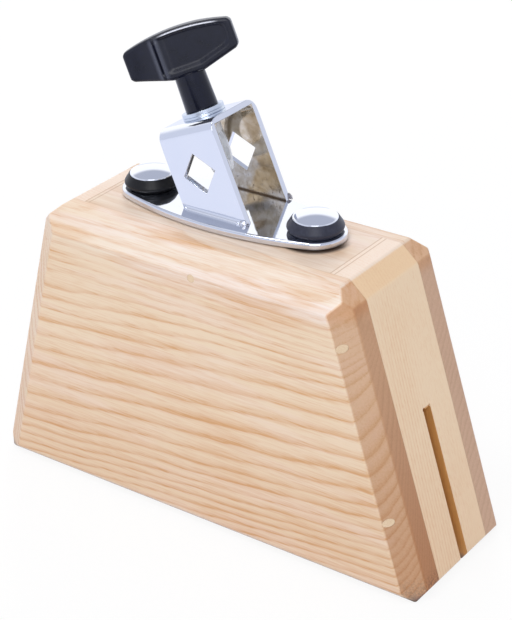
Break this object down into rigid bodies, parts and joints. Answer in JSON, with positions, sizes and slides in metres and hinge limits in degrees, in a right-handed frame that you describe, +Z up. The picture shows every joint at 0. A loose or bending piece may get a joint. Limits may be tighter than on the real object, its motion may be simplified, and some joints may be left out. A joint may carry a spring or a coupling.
{
  "type": "woodblock",
  "caption": "Hollow slotted woodblock of laminated ash with a leaning chrome rod clamp, rubber mounted on top, and a black wing knob that draws up an eye.",
  "frame": {"origin": "centre of the block's underside, in the middle of its length and depth", "axes": "+X along the block to the end with the thicker end piece, -Y out of the front slab, +Z up"},
  "size_m": [0.198, 0.0642, 0.1847],
  "materials": {
    "ash_slab": "sanded ash, clear satin lacquer",
    "ash_core": "sanded pale ash, clear satin lacquer",
    "pin_wood": "pale hardwood, end grain, clear satin lacquer",
    "chrome_plate": "bright chrome plate on steel",
    "weld_metal": "plated weld beads, a little browned",
    "black_rubber": "black moulded rubber",
    "zinc_steel": "bright zinc plate",
    "black_plastic": "black moulded plastic, soft gloss",
    "brass_insert": "turned brass"
  },
  "bodies": {
    "block": {"front_slab": "ash_slab", "rear_slab": "ash_slab", "top_rail": "ash_core", "left_end": "ash_core", "right_end": "ash_core", "front_bottom_strip": "ash_core", "rear_bottom_strip": "ash_core", "front_pins": "pin_wood", "rear_pins": "pin_wood", "base_plate": "chrome_plate", "strap": "chrome_plate", "weld_beads": "weld_metal", "left_bush": "black_rubber", "right_bush": "black_rubber", "bracket_bolts": "chrome_plate", "bracket_washers": "zinc_steel", "bracket_nuts": "zinc_steel", "lower_washer": "zinc_steel", "upper_washer": "zinc_steel"},
    "wing_knob": {"knob": "black_plastic", "knob_insert": "brass_insert"},
    "stud": {"clamp_stud": "zinc_steel"},
    "eye": {"clamp_eye": "chrome_plate"}
  },
  "joints": [
    {"name": "knob_turn", "type": "hinge", "parent": "block", "child": "wing_knob", "pos_m": [-0.0031, 0.0071, 0.1172], "axis": [-0.3778, 0, 0.9259], "range_deg": [0, 1710]},
    {"name": "stud_travel", "type": "slide", "parent": "block", "child": "stud", "axis": [0.3778, 0, -0.9259], "range_m": [0, 0.006]},
    {"name": "eye_swivel", "type": "hinge", "parent": "stud", "child": "eye", "pos_m": [-0.0031, 0.0071, 0.1172], "axis": [-0.3778, 0, 0.9259], "continuous": true}
  ],
  "couplings": [
    {"joint": "stud_travel", "follows": "knob_turn", "m_per_rad": 0.00019894}
  ]
}
